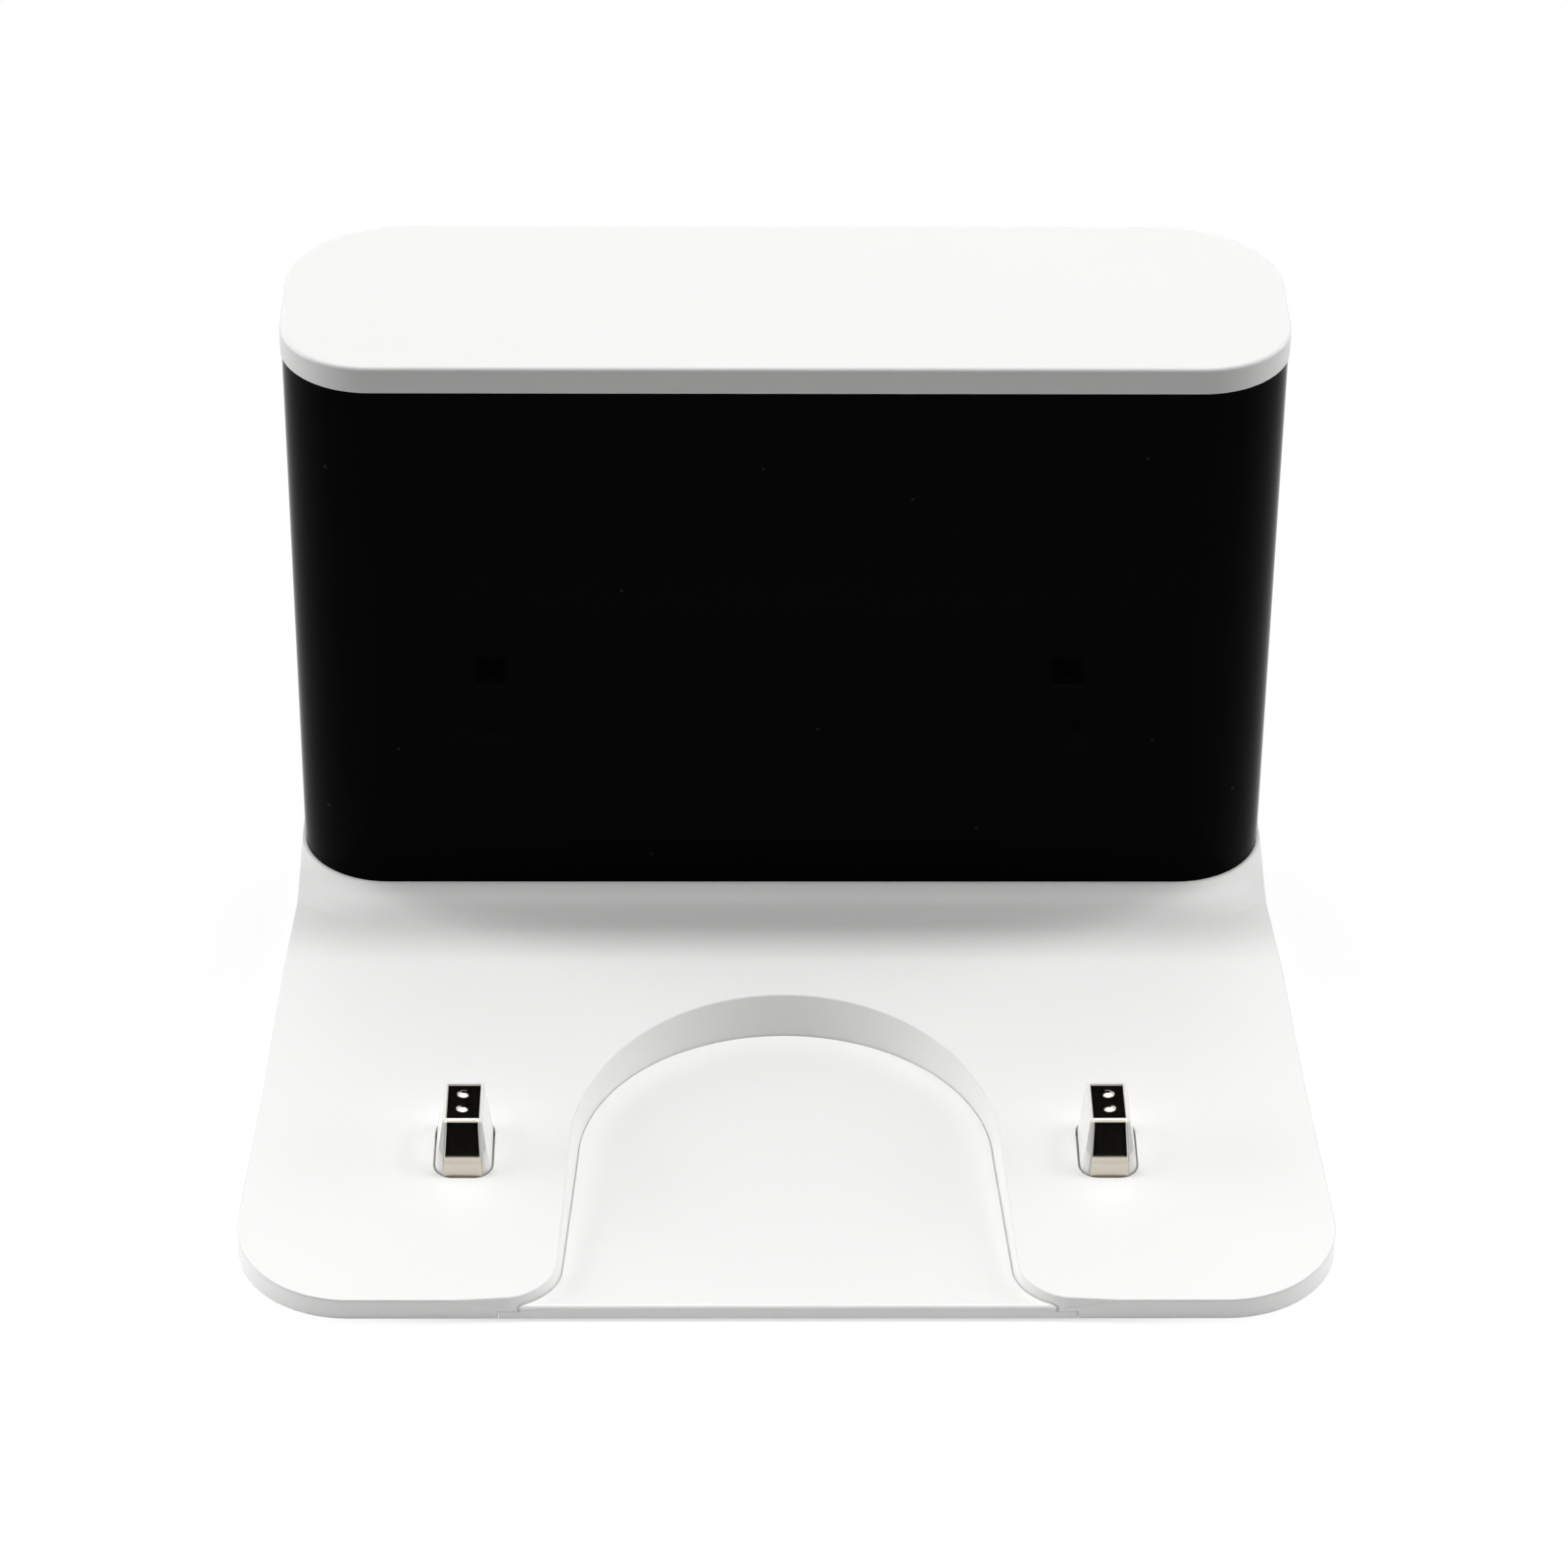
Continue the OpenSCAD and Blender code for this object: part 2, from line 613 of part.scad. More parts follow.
module top_cap() color(WHITE) difference() {
    union() {
        translate([0, 0, cap_z])
            cap_slab(tower_w + 2 * cap_over, tower_y - cap_over, back_y,
                     tower_front_r + cap_over, tower_back_r, cap_h, cap_edge_r);
        translate([0, 0, cap_z - rim_h]) linear_extrude(rim_h + cap_h / 2) tower_plan(rim_inset);
    }
    translate([0, 0, cap_z - rim_h - 1]) linear_extrude(rim_h + 1 + cap_h - cap_wall)
        tower_plan(rim_inset + rim_t);
}

// Mains inlet

socket_r = 4.2;
socket_d = 11;
inlet_body_d = 14;
inlet_flange = 2;
flange_side = 2;
flange_rise = 1.5;
flange_r = 2;
pin_tail = 3;

module socket_plan(r) {
    for (side = [-1, 1]) translate([side * pin_pitch / 2, 0]) circle(r = r);
    square([pin_pitch, 2 * r], center = true);
}

// Places a child on the face of the inlet, with Z out of the bay
module at_inlet() {
    translate([inlet_x, bay_y, inlet_z]) rotate([-90, 0, 0]) children();
}

module mains_inlet() color(BLACK) at_inlet() difference() {
    union() {
        translate([-inlet_w / 2, -inlet_h / 2, -inlet_body_d]) cube([inlet_w, inlet_h, inlet_body_d]);
        linear_extrude(inlet_flange)
            rounded_plan(inlet_w + 2 * flange_side, -inlet_h / 2 - flange_rise, inlet_h / 2 + flange_rise,
                         flange_r, flange_r);
    }
    translate([0, 0, inlet_flange - socket_d]) linear_extrude(socket_d + 1) socket_plan(socket_r);
    for (side = [-1, 1]) translate([side * pin_pitch / 2, 0, -inlet_body_d - 1])
        cylinder(h = inlet_body_d, r = pin_d / 2);
}

module inlet_pins() color(NICKEL) at_inlet() for (side = [-1, 1])
    translate([side * pin_pitch / 2, 0, -inlet_body_d - pin_tail])
        cylinder(h = inlet_body_d + pin_tail, r = pin_d / 2);

// Wires

// Points on a smooth curve through the points of route, steps of them to each stretch
function curve(route, steps = 8) =
    let (n = len(route))
    concat(
        [for (i = [0 : n - 2])
            let (
                p0 = route[max(i - 1, 0)], p1 = route[i],
                p2 = route[i + 1], p3 = route[min(i + 2, n - 1)]
            )
            for (j = [0 : steps - 1])
                let (t = j / steps)
                0.5 * (2 * p1 + (p2 - p0) * t + (2 * p0 - 5 * p1 + 4 * p2 - p3) * t * t
                    + (3 * p1 - p0 - 3 * p2 + p3) * t * t * t)],
        [route[n - 1]]);

function across_of(v) = unit(abs(v[2]) < 0.9 * norm(v) ? cross(v, [0, 0, 1]) : cross(v, [1, 0, 0]));

// Side vector of each ring, carried along the path so that the tube doesn't twist
function carried(path, i, side) =
    let (
        last = len(path) - 1,
        along = unit(path[min(i + 1, last)] - path[max(i - 1, 0)]),
        level = unit(side - (side * along) * along)
    )
    i == last ? [level] : concat([level], carried(path, i + 1, level));

module tube(path, r, sides = 8) {
    last = len(path) - 1;
    across_v = carried(path, 0, across_of(path[1] - path[0]));
    points = [for (i = [0 : last])
        let (along = unit(path[min(i + 1, last)] - path[max(i - 1, 0)]), up = cross(along, across_v[i]))
        for (k = [0 : sides - 1])
            path[i] + r * (cos(360 * k / sides) * across_v[i] + sin(360 * k / sides) * up)];
    polyhedron(
        points = points,
        faces = concat(
            [[for (k = [sides - 1 : -1 : 0]) k]],
            [[for (k = [0 : sides - 1]) last * sides + k]],
            [for (i = [0 : last - 1], k = [0 : sides - 1])
                [i * sides + k, i * sides + (k + 1) % sides,
                 (i + 1) * sides + (k + 1) % sides, (i + 1) * sides + k]]),
        convexity = 10);
}

// Power board

// Places a child on the front face of the power board, with Z away from the board
module on_board(x, z) {
    translate([board_x + x, board_y, board_z + z]) rotate([90, 0, 0]) children();
}

board_left = -board_w / 2;
board_right = board_w / 2;
board_head_r = 2.2;
board_head_t = 1.4;

module power_board() color(GREEN) difference() {
    translate([board_x - board_w / 2, board_y, board_z]) cube([board_w, board_t, board_h]);
    for (x = [-board_boss_x, board_boss_x], z = board_boss_z)
        translate([board_x + x, board_y + board_t + 1, z]) rotate([90, 0, 0])
            cylinder(h = board_t + 2, r = board_hole_r);
}

module board_screws() color(GREY) for (x = [-board_boss_x, board_boss_x], z = board_boss_z)
    translate([board_x + x, board_y, z]) rotate([-90, 0, 0])
        screw(board_t + 2.6, board_head_r, board_head_t);

// Block on the board, w wide and l long, that stands out by h
module block(w, l, h) {
    linear_extrude(h) square([w, l], center = true);
}

transformer_x = -3;
transformer_z = 22;
bobbin_w = 20;
bobbin_l = 22;
bobbin_t = 1;
winding_w = 15;
winding_l = 18;
winding_t = 9;
core_l = 12;
core_t = 5;

// Bobbin with its two flanges, the winding between them, and the core that goes through it
module transformer() color("#2b2a27") on_board(transformer_x, transformer_z) {
    for (z = [0, bobbin_t + winding_t]) translate([0, 0, z]) block(bobbin_w, bobbin_l, bobbin_t);
    translate([0, 0, bobbin_t]) block(winding_w, winding_l, winding_t);
    translate([0, 0, bobbin_t + (winding_t - core_t) / 2]) block(bobbin_w, core_l, core_t);
}

bulk_r = 4.8;
bulk_h = 12;
bulk_z = 12;
bulk_margin = 9;
bulk_pitch = 12;

module bulk_capacitors() color("#26324f") for (i = [0, 1])
    on_board(board_right - bulk_margin - i * bulk_pitch, bulk_z) cylinder(h = bulk_h, r = bulk_r);

choke_r = 6.5;
choke_bore_r = 3;
choke_h = 6;
choke_margin = 13;
choke_drop = 10;

module line_choke() color("#b5651d")
    on_board(board_right - choke_margin, board_h - choke_drop) difference() {
        cylinder(h = choke_h, r = choke_r);
        translate([0, 0, -1]) cylinder(h = choke_h + 2, r = choke_bore_r);
    }

noise_w = 6;
noise_l = 13;
noise_h = 9;
noise_margin = 24;
noise_drop = 11;

module noise_capacitor() color("#d9c34a") on_board(board_right - noise_margin, board_h - noise_drop)
    block(noise_w, noise_l, noise_h);

mains_row_z = 21.5;
fuse_w = 8;
fuse_l = 4.5;
fuse_h = 7;
fuse_margin = 21;

module mains_fuse() color(BLACK) on_board(board_right - fuse_margin, mains_row_z)
    block(fuse_w, fuse_l, fuse_h);

bridge_w = 11;
bridge_l = 3.4;
bridge_h = 6;
bridge_margin = 10;

module bridge_rectifier() color(BLACK) on_board(board_right - bridge_margin, mains_row_z)
    block(bridge_w, bridge_l, bridge_h);

sink_t = 2;
sink_l = 26;
sink_h = 11;
sink_margin = 20;
sink_z = 24;
fin_w = 4;
fin_t = 1.2;
fin_pitch = 5;

// Plate of the heat sink, with five fins on its left
module heat_sink() color(GREY) on_board(board_left + sink_margin, sink_z) {
    block(sink_t, sink_l, sink_h);
    for (i = [-2 : 2]) translate([-fin_w / 2, i * fin_pitch, 0]) block(fin_w, fin_t, sink_h);
}

output_r = 4;
output_h = 11;
output_z = 14;
output_pitch = 11;
output_margin = 10;

module output_capacitors() color("#26324f") for (i = [0, 1])
    on_board(board_left + output_margin, output_z + i * output_pitch) cylinder(h = output_h, r = output_r);

plug_x = board_left + 14;
plug_z = 4.5;
plug_pitch = 4.8;
plug_h = 6;
plug_side = 2.6;
plug_l = 5;

module contact_connector() color(WHITE) on_board(plug_x, plug_z)
    block(plug_pitch + 2 * plug_side, plug_l, plug_h);

// Beacon

module beacon_board() color(GREEN) difference() {
    translate([-beacon_w / 2, beacon_y, beacon_z]) cube([beacon_w, board_t, beacon_h]);
    for (x = [-beacon_boss_x, beacon_boss_x])
        translate([x, beacon_y + board_t + 1, beacon_z + beacon_h / 2]) rotate([90, 0, 0])
            cylinder(h = board_t + 2, r = board_hole_r);
}

module beacon_screws() color(GREY) for (x = [-beacon_boss_x, beacon_boss_x])
    translate([x, beacon_y, beacon_z + beacon_h / 2]) rotate([-90, 0, 0])
        screw(board_t + 4.5, board_head_r, board_head_t);

emitter_x = [-22, -5, 5, 22];
emitter_z = beacon_z + beacon_h / 2;

// Domed lamp that points to the front, with its base at the origin
module lamp(d, h) {
    rotate([90, 0, 0]) {
        cylinder(h = 1, r = d / 2 + 0.4);
        cylinder(h = h - d / 2, r = d / 2);
        translate([0, 0, h - d / 2]) sphere(r = d / 2);
    }
}

module infrared_emitters() color("#3a2f45") for (x = emitter_x)
    translate([x, beacon_y, emitter_z]) lamp(emitter_d, 8);

module status_light() color("#e8e8e0")
    translate([hood_w / 2 + 4, beacon_y, emitter_z + 3]) lamp(3, 5);

hood_wall = 1;
hood_bore = emitter_d + 1.4;
hood_w = emitter_x[2] - emitter_x[1] + hood_bore + 2 * hood_wall;
hood_gap = 0.3;

// Black hood that splits the beam of the two middle emitters
module beacon_hood() color(BLACK) {
    difference() {
        translate([-hood_w / 2, panel_back_y + hood_gap, emitter_z - hood_bore / 2 - hood_wall])
            cube([hood_w, beacon_y - panel_back_y - hood_gap, hood_bore + 2 * hood_wall]);
        for (x = [emitter_x[1], emitter_x[2]])
            translate([x, beacon_y + 1, emitter_z]) rotate([90, 0, 0])
                cylinder(h = beacon_y - tower_y, r = hood_bore / 2);
    }
}

// Sprung contacts

root_z = pocket_z + press_travel + 0.1;
flange_t = 0.8;
stop_gap = 0.1;
collar_top = ramp_foot_h - 0.2;
cavity_w = 5.2;
cavity_d = 5.2;
roof_z = contact_top_h - strip_t - 1.1;
bend_r = 0.8;
post_back_y = post_front_y + carrier_d;
// Face of the strip: up the foot, back along the lean, and over the top
knee_z = collar_top + 2;
brow_y = post_front_y + rise(contact_top_h - knee_z, front_lean);
tail_y = post_back_y - 0.9;

// Path of the strip's outer face in depth and height, from its foot to the end of its fold
function strip_path(inset) =
    let (
        foot = [post_front_y + inset, root_z + flange_t + 0.2],
        knee = [post_front_y + inset, knee_z],
        brow = [brow_y + inset, contact_top_h - inset],
        back = [tail_y - inset, contact_top_h - inset],
        hook = [tail_y - inset, roof_z - strip_t + inset],
        end = [spring_y - 1, roof_z - strip_t + inset]
    )
    concat([foot], blend(foot, knee, brow, 2, 4), blend(knee, brow, back, bend_r + 0.4 - inset, 6),
           blend(brow, back, hook, bend_r - inset, 6), blend(back, hook, end, bend_r - inset, 6), [end]);

module strip_profile() {
    outer = strip_path(0);
    inner = strip_path(strip_t);
    polygon(concat(outer, [for (i = [len(inner) - 1 : -1 : 0]) inner[i]]));
}

// Front view of the strip: it widens towards its foot
module strip_width(grow = 0) {
    translate([0, back_y, 0]) rotate([90, 0, 0]) linear_extrude(dock_d)
        polygon([[-strip_foot_w / 2 - grow, 0], [strip_foot_w / 2 + grow, 0],
                 [strip_foot_w / 2 + grow, collar_top], [strip_w / 2 + grow, contact_top_h - 1],
                 [strip_w / 2 + grow, dock_h], [-strip_w / 2 - grow, dock_h],
                 [-strip_w / 2 - grow, contact_top_h - 1], [-strip_foot_w / 2 - grow, collar_top]]);
}

// Two dimples on top of the strip: their places behind its brow, and the ball that presses them
dimple_y = [2.75, 6.05];
dimple_r = 0.8;
dimple_sunk = 0.55;

module contact_strip() color(NICKEL) {
    intersection() {
        across(carrier_w) strip_profile();
        strip_width();
    }
    for (y = dimple_y)
        translate([0, brow_y + y, contact_top_h - dimple_sunk]) intersection() {
            sphere(r = dimple_r, $fn = 32);
            translate([-1, -1, dimple_sunk - strip_t / 2 + 0.05]) cube(2);
        }
}

// Side view of the plunger, drawn in depth and height
module carrier_side() {
    top = contact_top_h - strip_t * 0.4;
    shoulder = [post_back_y, collar_top];
    rear = [post_back_y - 0.5, top];
    polygon(concat([[post_front_y, root_z]],
                   blend([post_front_y, root_z], [post_front_y, knee_z], [brow_y, top], 2, 4),
                   blend([post_front_y, knee_z], [brow_y, top], rear, bend_r, 4),
                   [rear, shoulder, [post_back_y, root_z]]));
}

// Front view of the plunger
module carrier_front() {
    polygon([[-carrier_w / 2, root_z], [carrier_w / 2, root_z], [carrier_w / 2, collar_top],
             [carrier_top_w / 2, contact_top_h - 0.6], [carrier_top_w / 2 - 0.3, dock_h],
             [-carrier_top_w / 2 + 0.3, dock_h], [-carrier_top_w / 2, contact_top_h - 0.6],
             [-carrier_w / 2, collar_top]]);
}

module contact_carrier() color(WHITE) difference() {
    union() {
        intersection() {
            across(carrier_w + 2) carrier_side();
            translate([0, back_y, 0]) rotate([90, 0, 0]) linear_extrude(dock_d) carrier_front();
            linear_extrude(dock_h) slot_plan(carrier_w, carrier_d, slot_r - slot_gap);
        }
        translate([0, 0, root_z]) linear_extrude(flange_t) slot_plan(flange_w, flange_d, slot_r + 0.7);
    }
    translate([-cavity_w / 2, spring_y - cavity_d / 2, root_z - 1])
        cube([cavity_w, cavity_d, roof_z - root_z + 1]);
    // Seat of the strip
    intersection() {
        across(2 * carrier_w) polygon(concat([[post_front_y - 2, root_z + flange_t + 0.2]],
            [for (p = strip_path(strip_t)) p], [[spring_y - 1, roof_z - strip_t], [tail_y, roof_z - strip_t],
            [tail_y, dock_h], [post_front_y - 2, dock_h]]));
        strip_width(0.03);
    }
}

spring_r = 2;
spring_wire_r = 0.25;
spring_turns = 5.5;
spring_low_z = pocket_z + spring_wire_r;
spring_high_z = roof_z - strip_t - spring_wire_r;

module contact_spring() color(GREY) {
    steps = 14 * spring_turns;
    tube([for (i = [0 : steps])
        let (
            turn = 360 * spring_turns * i / steps,
            rest = 360 * 0.75,
            share = max(0, min(1, (turn - rest) / (360 * spring_turns - 2 * rest)))
        )
        [spring_r * cos(turn), spring_y + spring_r * sin(turn),
         spring_low_z + (spring_high_z - spring_low_z) * share]],
        spring_wire_r, 6);
}

module contact_terminal() color(BRASS) difference() {
    translate([0, 0, pocket_z - terminal_t]) linear_extrude(terminal_t) terminal_plan();
    translate([0, spring_y, 0]) cylinder(h = dock_h, r = guide_r + terminal_play);
}

// Route of a contact lead: from its terminal back under the ramp, up through the deck and to
// the connector on the power board
function lead_route(side) =
    let (
        low_z = pocket_z + wire_r + touch,
        under_z = cover_top + wire_r + 0.9,
        hole = [side * lead_hole_xy[0], lead_hole_xy[1]],
        from = [side * post_x, tab_end_y + groove_d],
        run = hole - from,
        plug = [board_x + plug_x + side * plug_pitch / 2, board_y - plug_h - 3 * touch, board_z + plug_z],
        // The left lead passes under the right one
        dip = side < 0 ? 2.7 : 0
    )
    [[from[0], tab_end_y - 0.8, low_z], [from[0], from[1], under_z],
     [from[0] + 0.15 * run[0], from[1] + 0.25 * run[1], under_z + 0.4],
     [from[0] + 0.6 * run[0], from[1] + 0.65 * run[1], under_z + 0.9],
     [from[0] + 0.95 * run[0], hole[1] - 4, under_z + 1.5],
     [hole[0], hole[1], deck_z - 2], [hole[0], hole[1] - 0.3, deck_z + 2.5],
     [hole[0] + (plug[0] - hole[0]) * 0.3, hole[1] - 5, plug[2] - 2 - dip],
     [plug[0] + 6 + 2 * side, plug[1] - 5, plug[2] - 0.6 - dip],
     [plug[0], plug[1] - 3.5, plug[2]], [plug[0], plug[1], plug[2]]];

module contact_lead(side) color(side < 0 ? "#20242a" : "#b3262b")
    tube(curve(lead_route(side), 4), wire_r);

module at_contact(side) {
    translate([side * post_x, 0, 0]) children();
}

module left_contact_carrier() at_contact(-1) contact_carrier();
module right_contact_carrier() at_contact(1) contact_carrier();
module left_contact_strip() at_contact(-1) contact_strip();
module right_contact_strip() at_contact(1) contact_strip();
module left_contact_spring() at_contact(-1) contact_spring();
module right_contact_spring() at_contact(1) contact_spring();
module left_contact_terminal() at_contact(-1) contact_terminal();
module right_contact_terminal() at_contact(1) contact_terminal();
module left_contact_lead() contact_lead(-1);
module right_contact_lead() contact_lead(1);

// Wires from the ends of the inlet's pins to the edge of the power board
module inlet_leads() color("#5b3a1e") {
    tail_y = bay_y - inlet_body_d - pin_tail - 3 * touch;
    edge_x = board_x + board_right - 3;
    for (side = [-1, 1]) {
        pin_x = inlet_x + side * pin_pitch / 2;
        tube(curve([[pin_x, tail_y, inlet_z], [pin_x, tail_y - 0.8, inlet_z], [pin_x, tail_y - 1.6, inlet_z],
                    [(pin_x + edge_x) / 2, tail_y - 2 + side / 2, inlet_z + side * 2],
                    [edge_x, board_y - 6, inlet_z + side * 3],
                    [edge_x, board_y - 3, inlet_z + side * 3],
                    [edge_x, board_y - 3 * touch, inlet_z + side * 3]], 4), wire_r);
    }
}

// Harness that runs down between the two boards, from one to the other
module beacon_harness() color("#d8d8d4") {
    gap = board_y - beacon_y - board_t;
    x = board_x - 4;
    low_z = board_z + board_h - harness_reach;
    translate([x, board_y - gap / 2, low_z])
        cylinder(h = beacon_z + harness_reach - low_z, r = gap / 2 - harness_gap);
}

base_shell();
bottom_cover();
rubber_feet();
cover_screws();
front_panel();
rear_shell();
top_cap();
tower_screws();
mains_inlet();
inlet_pins();
inlet_leads();
power_board();
board_screws();
transformer();
bulk_capacitors();
line_choke();
noise_capacitor();
mains_fuse();
bridge_rectifier();
heat_sink();
output_capacitors();
contact_connector();
beacon_board();
beacon_screws();
infrared_emitters();
beacon_hood();
status_light();
beacon_harness();
left_contact_carrier();
right_contact_carrier();
left_contact_strip();
right_contact_strip();
left_contact_spring();
right_contact_spring();
left_contact_terminal();
right_contact_terminal();
left_contact_lead();
right_contact_lead();
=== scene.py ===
import math

import bmesh
import bpy
from mathutils import Matrix, Vector


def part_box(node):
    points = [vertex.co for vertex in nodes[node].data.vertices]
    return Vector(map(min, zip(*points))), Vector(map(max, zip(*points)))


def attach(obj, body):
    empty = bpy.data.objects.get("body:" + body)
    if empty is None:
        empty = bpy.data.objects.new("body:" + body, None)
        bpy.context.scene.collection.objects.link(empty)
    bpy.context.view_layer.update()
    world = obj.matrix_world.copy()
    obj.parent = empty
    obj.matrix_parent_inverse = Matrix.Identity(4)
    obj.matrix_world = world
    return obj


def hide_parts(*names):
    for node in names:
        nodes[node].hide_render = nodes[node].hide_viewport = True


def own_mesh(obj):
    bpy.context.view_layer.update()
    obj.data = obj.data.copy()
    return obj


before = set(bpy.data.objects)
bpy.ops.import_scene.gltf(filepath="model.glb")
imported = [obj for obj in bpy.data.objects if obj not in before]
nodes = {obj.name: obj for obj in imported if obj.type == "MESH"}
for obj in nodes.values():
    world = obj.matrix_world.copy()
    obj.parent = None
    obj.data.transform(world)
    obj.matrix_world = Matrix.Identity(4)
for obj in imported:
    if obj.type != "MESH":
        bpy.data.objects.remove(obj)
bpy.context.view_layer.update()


# Camera. A long lens looks down on the front of the dock from just left of its middle, as the
# photograph does. Its place and its lens were solved on the dock's outline.
MM = 0.001
image_width_pixels = 1600
focal_length_pixels = 5653.3
sensor_width = 36
camera_target = Vector((-0.208, 0, 43.917)) * MM
camera_distance = 780.4 * MM
camera_elevation = math.radians(33.808)
camera_azimuth = math.radians(-0.818)
camera_roll = math.radians(0.483)
towards_camera = Vector((
    math.sin(camera_azimuth) * math.cos(camera_elevation),
    -math.cos(camera_azimuth) * math.cos(camera_elevation),
    math.sin(camera_elevation),
))
level = towards_camera.cross(Vector((0, 0, -1))).normalized()
upright = towards_camera.cross(level)
right = level * math.cos(camera_roll) + upright * math.sin(camera_roll)
up = upright * math.cos(camera_roll) - level * math.sin(camera_roll)
camera = bpy.data.objects.new("camera", bpy.data.cameras.new("camera"))
camera.data.sensor_width = sensor_width
camera.data.lens = focal_length_pixels / image_width_pixels * sensor_width
turn = Matrix((right, up, towards_camera)).transposed().to_4x4()
camera.matrix_world = Matrix.Translation(camera_target + towards_camera * camera_distance) @ turn
bpy.context.scene.collection.objects.link(camera)
bpy.context.scene.camera = camera


# Base shell. One thin shell of white ABS, injection moulded in a tool with a fine spark-eroded
# skin and closed from below by screws. It is satin, and spreads a highlight without a mirror
# image.
def linear(code):
    """The linear colour of an sRGB hex code, such as f2f2f1."""
    channels = [int(code[i:i + 2], 16) / 255 for i in (0, 2, 4)]
    return (*[c / 12.92 if c <= 0.04045 else ((c + 0.055) / 1.055) ** 2.4 for c in channels], 1)


def add(material, kind, inputs=None, **settings):
    """Adds a node to a material or the world. An input that is a socket is linked, any other
    is set."""
    node = material.node_tree.nodes.new("ShaderNode" + kind)
    for name, value in settings.items():
        setattr(node, name, value)
    for name, value in (inputs or {}).items():
        if isinstance(value, bpy.types.NodeSocket):
            material.node_tree.links.new(value, node.inputs[name])
        else:
            node.inputs[name].default_value = value
    return node


def new_material(name):
    """A material without nodes."""
    material = bpy.data.materials.new(name)
    material.use_nodes = True
    material.node_tree.nodes.clear()
    return material


def dress(material, *names):
    """Puts the material on these CAD nodes."""
    for name in names:
        for slot in nodes[name].material_slots:
            slot.material = material


noise_low, noise_high = 0.3, 0.7


def pitted_skin(name, light, dark, roughness, grain, depth, edge, ior=1.53, specular=0.5):
    """A skin that isn't metal, with a slow change between two close tones. Grain and depth are
    those of the pits that it was made with, and edge is the radius of its corners."""
    tone_size, uneven = 35 * MM, 0.03
    material = new_material(name)
    place = add(material, "TexCoord").outputs["Object"]
    flow = add(material, "TexNoise", {"Vector": place, "Scale": 1 / tone_size, "Detail": 3})
    tone = add(material, "Mix", {"Factor": flow.outputs["Fac"]}, data_type="RGBA")
    tone.inputs[6].default_value = linear(light)
    tone.inputs[7].default_value = linear(dark)
    gloss = add(material, "MapRange", {
        "Value": flow.outputs["Fac"], "From Min": noise_low, "From Max": noise_high,
        "To Min": roughness - uneven, "To Max": roughness + uneven,
    })
    pits = add(material, "TexNoise", {"Vector": place, "Scale": 1 / grain, "Detail": 2})
    corner = add(material, "Bevel", {"Radius": edge}, samples=4)
    skin = add(material, "Bump", {
        "Height": pits.outputs["Fac"], "Distance": depth, "Normal": corner.outputs["Normal"],
    })
    shader = add(material, "BsdfPrincipled", {
        "Base Color": tone.outputs[2], "Roughness": gloss.outputs["Result"],
        "Normal": skin.outputs["Normal"], "IOR": ior, "Specular IOR Level": specular,
    })
    add(material, "OutputMaterial", {"Surface": shader.outputs["BSDF"]})
    return material


satin_abs = pitted_skin("spark_eroded_white_abs", "f3f3f2", "efefee", roughness=0.40,
                        grain=0.35 * MM, depth=0.004 * MM, edge=0.35 * MM)
dress(satin_abs, "base_shell")


# Bottom cover. A flat ABS moulding that closes the base from below, with the raised floor of
# the horseshoe; four screws hold it. Its tool is smoother, so it has a little more gloss.
smooth_abs = pitted_skin("smooth_white_abs", "f4f4f3", "f0f0ef", roughness=0.33,
                         grain=0.5 * MM, depth=0.003 * MM, edge=0.25 * MM)
dress(smooth_abs, "bottom_cover")


# Feet. Discs of soft rubber, die-cut from a sheet and glued into pockets of the cover. Their
# skin is dark and dull.
foot_rubber = pitted_skin("die_cut_rubber", "3a3b3c", "323334", roughness=0.85,
                          grain=0.25 * MM, depth=0.02 * MM, edge=0.3 * MM, ior=1.52, specular=0.3)
dress(foot_rubber, "rubber_feet")


# Screws. Thread-forming steel screws, plated with zinc in a barrel. The plating is a cool grey,
# with slightly uneven gloss.
bloom_size = 0.8 * MM
zinc_gloss = (0.22, 0.42)
zinc_plate = new_material("zinc_plated_steel")
place = add(zinc_plate, "TexCoord").outputs["Object"]
bloom = add(zinc_plate, "TexNoise", {"Vector": place, "Scale": 1 / bloom_size, "Detail": 4})
gloss = add(zinc_plate, "MapRange", {
    "Value": bloom.outputs["Fac"], "To Min": zinc_gloss[0], "To Max": zinc_gloss[1],
})
shader = add(zinc_plate, "BsdfPrincipled", {
    "Base Color": linear("b9bcbe"), "Metallic": 1, "Roughness": gloss.outputs["Result"],
})
add(zinc_plate, "OutputMaterial", {"Surface": shader.outputs["BSDF"]})
dress(zinc_plate, "cover_screws", "tower_screws", "board_screws", "beacon_screws")


# Front panel. A dark, infrared-clear polycarbonate moulding with a polished face, which covers
# the front and the corners of the tower. It is nearly black and mirrors the contacts faintly,
# with a few specks of dust, which are a flat pattern of cells laid on its front.
wave_size, wave_depth = 28 * MM, 0.01 * MM
panel_edge = 0.2 * MM
dust_cell = 33 * MM
speck_rim, speck_core = 0.009, 0.004
panel = new_material("polished_black_polycarbonate")
place = add(panel, "TexCoord").outputs["Object"]
wave = add(panel, "TexNoise", {"Vector": place, "Scale": 1 / wave_size, "Detail": 1})
corner = add(panel, "Bevel", {"Radius": panel_edge}, samples=4)
skin = add(panel, "Bump", {
    "Height": wave.outputs["Fac"], "Distance": wave_depth, "Normal": corner.outputs["Normal"],
})
front = add(panel, "Mapping", {"Vector": place, "Rotation": (math.radians(-90), 0, 0)})
